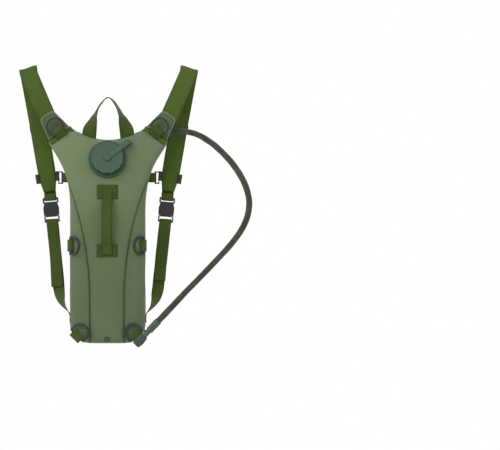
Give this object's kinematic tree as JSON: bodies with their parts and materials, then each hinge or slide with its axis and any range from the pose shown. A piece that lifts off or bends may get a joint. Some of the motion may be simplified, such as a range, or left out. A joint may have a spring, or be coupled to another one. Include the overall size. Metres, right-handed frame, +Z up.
{
  "type": "hydration pack",
  "caption": "Slim hydration pack: fabric carrier holding a bladder, with filler cap, shoulder straps, moulded back pad, drink hose and bite valve.",
  "frame": {"origin": "inside the top of the haul loop, where the pack hangs on a hook", "axes": "+Z up, +Y towards the wearer, +X to the wearer's right"},
  "size_m": [0.4917, 0.1402, 0.5915],
  "materials": {
    "fabric": "woven nylon, grey olive, faintly coated",
    "yoke_fabric": "woven nylon, lighter green",
    "webbing": "ribbed nylon webbing, olive green",
    "pad": "moulded foam with a brushed knit face, dark green",
    "port_plastic": "moulded plastic, grey green",
    "buckle_plastic": "acetal, near black",
    "ring_plastic": "acetal, olive",
    "rubber_seal": "silicone seal",
    "film": "clear urethane film",
    "hose_sleeve": "braided sleeve over a drink hose, dark olive grey",
    "inner_tube": "drink hose",
    "valve_plastic": "moulded plastic, grey green",
    "valve_silicone": "silicone, grey green",
    "metal": "dark lacquered metal"
  },
  "bodies": {
    "carrier": {"anchor_pad_left": "fabric", "anchor_pad_right": "fabric", "back_band": "webbing", "back_pad": "pad", "back_panel": "fabric", "base_ring_tabs": "webbing", "bite_valve": "valve_silicone", "bladder": "film", "drain_eyelet": "metal", "drink_hose": "hose_sleeve", "front_panel": "fabric", "handle_patch_lower": "webbing", "handle_patch_upper": "webbing", "handle_strip": "webbing", "haul_loop": "webbing", "hose_connector": "valve_plastic", "inner_hose": "inner_tube", "lower_strap_left": "webbing", "lower_strap_right": "webbing", "outlet_fitting": "valve_plastic", "port_collar": "port_plastic", "shoulder_socket_left": "buckle_plastic", "shoulder_socket_right": "buckle_plastic", "shoulder_strap_left": "webbing", "shoulder_strap_right": "webbing", "shoulder_webbing_left": "webbing", "shoulder_webbing_right": "webbing", "shutoff_valve": "valve_plastic", "side_panel_left": "fabric", "side_panel_right": "fabric", "side_ring_tabs": "webbing", "strap_ring_tabs": "webbing", "wing_binding_left": "webbing", "wing_binding_right": "webbing", "wing_ring_tabs": "webbing", "yoke_panel": "yoke_fabric"},
    "leash": {"cap_leash": "port_plastic"},
    "cap": {"cap": "port_plastic", "cap_gasket": "rubber_seal", "leash_button": "port_plastic"},
    "wing_ring_left": {"wing_ring_left": "ring_plastic"},
    "strap_ring_left": {"strap_ring_left": "ring_plastic"},
    "side_ring_left": {"side_ring_left": "ring_plastic"},
    "base_ring_left": {"base_ring_left": "ring_plastic"},
    "wing_ring_right": {"wing_ring_right": "ring_plastic"},
    "strap_ring_right": {"strap_ring_right": "ring_plastic"},
    "side_ring_right": {"side_ring_right": "ring_plastic"},
    "base_ring_right": {"base_ring_right": "ring_plastic"},
    "shoulder_plug_left": {"shoulder_plug_left": "buckle_plastic"},
    "shoulder_plug_right": {"shoulder_plug_right": "buckle_plastic"},
    "sternum": {"strap_slider_left": "buckle_plastic", "strap_slider_right": "buckle_plastic", "sternum_socket": "buckle_plastic", "sternum_strap_left": "webbing", "sternum_strap_right": "webbing"},
    "sternum_plug": {"sternum_plug": "buckle_plastic"},
    "lever": {"shutoff_lever": "valve_plastic"}
  },
  "joints": [
    {"name": "cap_lift", "type": "slide", "parent": "carrier", "child": "leash", "axis": [0, -0.9795, 0.2017], "range_m": [0, 0.025], "deforming": ["cap_leash"]},
    {"name": "cap_turn", "type": "hinge", "parent": "leash", "child": "cap", "pos_m": [0, -0.021, -0.13], "axis": [0, -0.9795, 0.2017], "range_deg": [0, 360]},
    {"name": "wing_ring_left_swing", "type": "hinge", "parent": "carrier", "child": "wing_ring_left", "pos_m": [-0.10455, -0.02061, -0.06799], "axis": [0.8175, 0, 0.576], "range_deg": [0, 100]},
    {"name": "strap_ring_left_swing", "type": "hinge", "parent": "carrier", "child": "strap_ring_left", "pos_m": [-0.1486, 0.03946, -0.057], "axis": [0.9863, 0, 0.165], "range_deg": [0, 100]},
    {"name": "side_ring_left_swing", "type": "hinge", "parent": "carrier", "child": "side_ring_left", "pos_m": [-0.07574, -0.04924, -0.31], "axis": [0, 0, -1], "range_deg": [0, 100]},
    {"name": "base_ring_left_swing", "type": "hinge", "parent": "carrier", "child": "base_ring_left", "pos_m": [-0.06113, -0.05721, -0.49663], "axis": [0.7071, 0, -0.7071], "range_deg": [0, 70]},
    {"name": "wing_ring_right_swing", "type": "hinge", "parent": "carrier", "child": "wing_ring_right", "pos_m": [0.10455, -0.02061, -0.06799], "axis": [0.8175, 0, -0.576], "range_deg": [0, 100]},
    {"name": "strap_ring_right_swing", "type": "hinge", "parent": "carrier", "child": "strap_ring_right", "pos_m": [0.1486, 0.03946, -0.057], "axis": [0.9863, 0, -0.165], "range_deg": [0, 100]},
    {"name": "side_ring_right_swing", "type": "hinge", "parent": "carrier", "child": "side_ring_right", "pos_m": [0.07574, -0.04924, -0.31], "axis": [0, 0, 1], "range_deg": [0, 100]},
    {"name": "base_ring_right_swing", "type": "hinge", "parent": "carrier", "child": "base_ring_right", "pos_m": [0.06113, -0.05721, -0.49663], "axis": [0.7071, 0, 0.7071], "range_deg": [0, 70]},
    {"name": "shoulder_buckle_left", "type": "slide", "parent": "carrier", "child": "shoulder_plug_left", "axis": [0.0854, 0, -0.9963], "range_m": [0, 0.026], "deforming": ["shoulder_plug_left", "lower_strap_left"]},
    {"name": "shoulder_buckle_right", "type": "slide", "parent": "carrier", "child": "shoulder_plug_right", "axis": [-0.0854, 0, -0.9963], "range_m": [0, 0.026], "deforming": ["shoulder_plug_right", "lower_strap_right"]},
    {"name": "sternum_height", "type": "slide", "parent": "carrier", "child": "sternum", "axis": [0, 0, 1], "range_m": [-0.003, 0.01]},
    {"name": "sternum_buckle", "type": "slide", "parent": "sternum", "child": "sternum_plug", "axis": [1, 0, 0], "range_m": [0, 0.026], "deforming": ["sternum_plug", "sternum_strap_right"]},
    {"name": "lever_turn", "type": "hinge", "parent": "carrier", "child": "lever", "pos_m": [0.08514, -0.088, -0.4902], "axis": [-0.7265, 0, 0.6872], "range_deg": [0, 90]}
  ]
}
